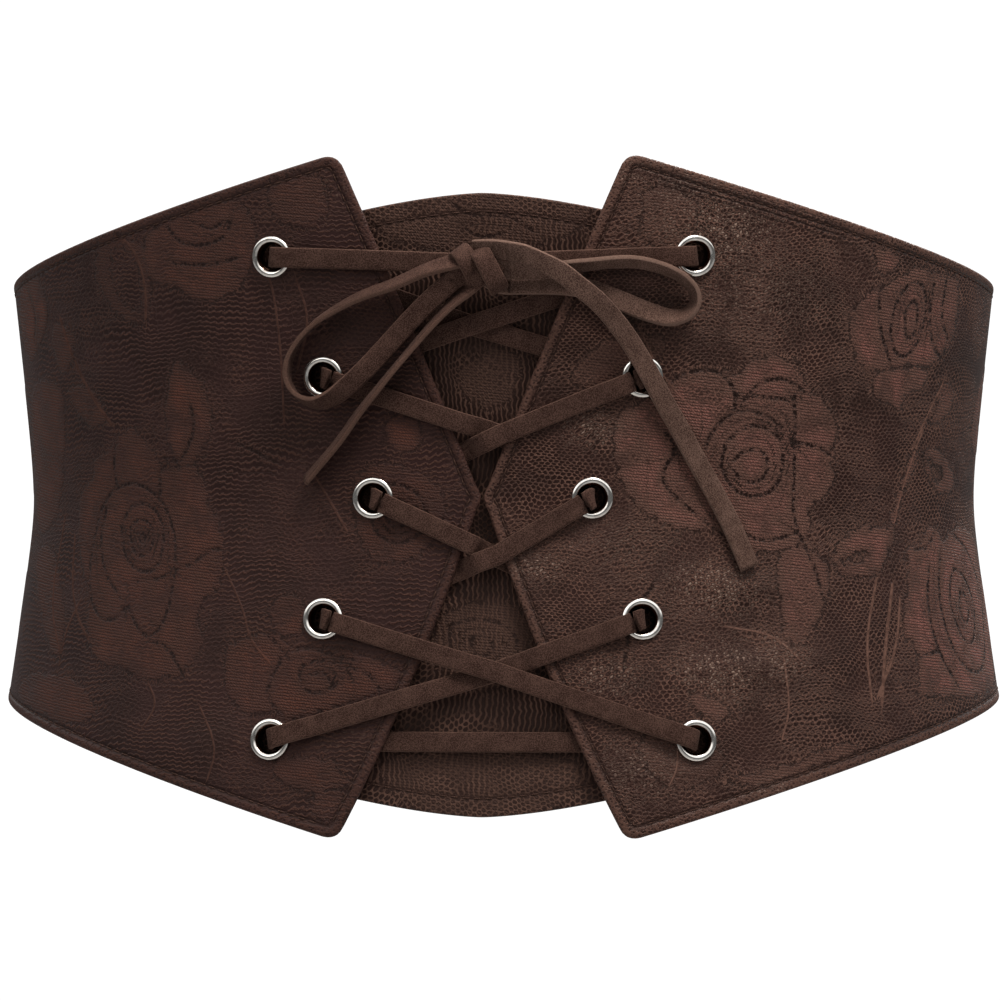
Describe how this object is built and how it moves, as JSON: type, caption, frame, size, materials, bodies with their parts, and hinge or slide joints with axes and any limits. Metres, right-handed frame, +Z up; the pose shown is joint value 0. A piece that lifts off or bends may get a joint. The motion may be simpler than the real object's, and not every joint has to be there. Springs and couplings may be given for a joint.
{
  "type": "corset belt",
  "caption": "Wide waist belt of net-covered leather panels, laced through metal eyelets over a plain front panel, tied in a bow, closed at the back by an elastic band.",
  "frame": {"origin": "middle of the waist, at the height where the belt is narrowest", "axes": "+Z up the wearer's body, the laced front faces -Y, +X to the viewer's right when the front is looked at"},
  "size_m": [0.262, 0.1914, 0.1686],
  "materials": {
    "lace_leather": "dark brown leather with a soft gloss, under a lace net of the same colour",
    "lace_net": "dark brown net over cloth, matte",
    "elastic": "dark brown ribbed elastic, matte",
    "suede": "dark brown suede, matte, with lighter cut edges",
    "nickel": "polished nickel"
  },
  "bodies": {
    "root": {"left_front_panel": "lace_leather", "right_front_panel": "lace_leather", "eyelet_left_1": "nickel", "eyelet_left_2": "nickel", "eyelet_left_3": "nickel", "eyelet_left_4": "nickel", "eyelet_left_5": "nickel", "eyelet_right_1": "nickel", "eyelet_right_2": "nickel", "eyelet_right_3": "nickel", "eyelet_right_4": "nickel", "eyelet_right_5": "nickel", "modesty_panel": "lace_net", "back_band": "elastic", "lacing": "suede", "bow_knot": "suede", "bow_loop_left": "suede", "bow_loop_right": "suede", "bow_end_right": "suede", "bow_end_left": "suede"}
  },
  "joints": []
}
